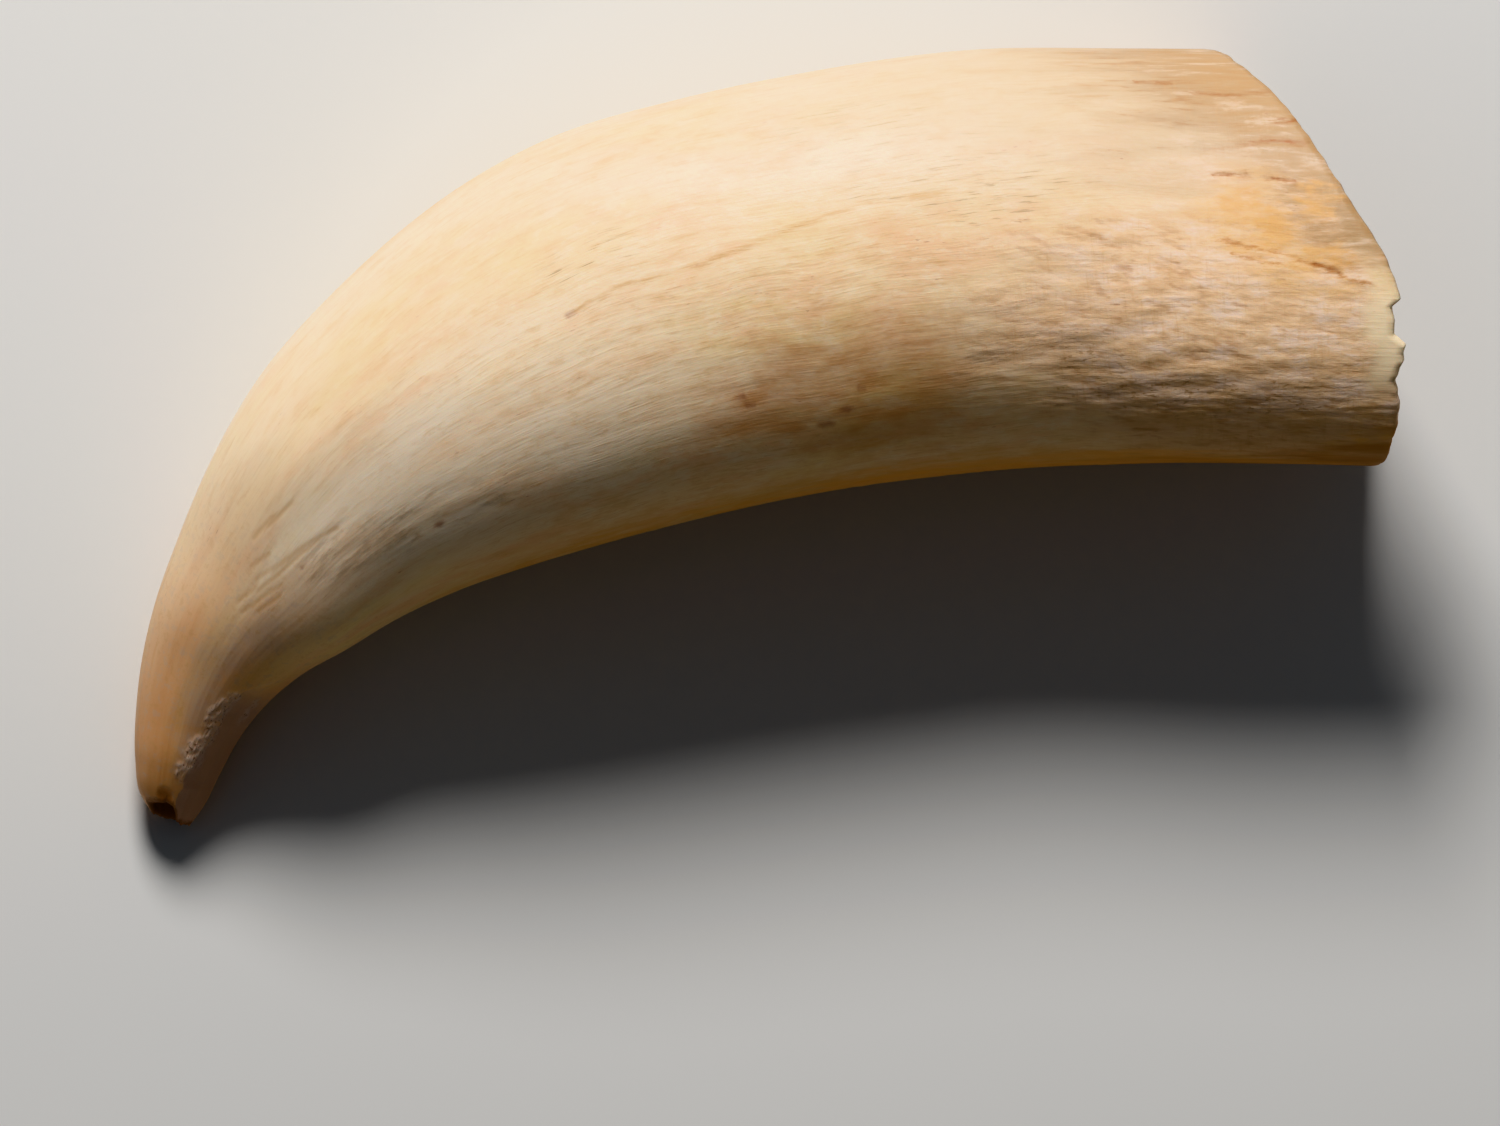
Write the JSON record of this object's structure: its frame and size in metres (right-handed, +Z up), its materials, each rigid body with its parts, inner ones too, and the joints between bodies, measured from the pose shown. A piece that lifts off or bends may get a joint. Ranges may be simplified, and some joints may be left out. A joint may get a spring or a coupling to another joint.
{
  "type": "sperm whale tooth",
  "caption": "Curved natural tooth of oval section lying on its side, with a worn facet and broken pit at the tip and an open conical pulp cavity inside a broken, oblique root rim.",
  "frame": {"origin": "under the middle of the tooth's bounding box, on the surface that the tooth lies on", "axes": "+X runs from the tip to the root, +Y is the side of the outer convex curve, and +Z is up out of the surface that the tooth lies on"},
  "size_m": [0.1904, 0.1172, 0.0496],
  "materials": {
    "tooth_ivory": "satin ivory, cream with lengthwise grain, tan at the tip and orange and brown stains at the root"
  },
  "bodies": {
    "root": {"tooth": "tooth_ivory"}
  },
  "joints": []
}
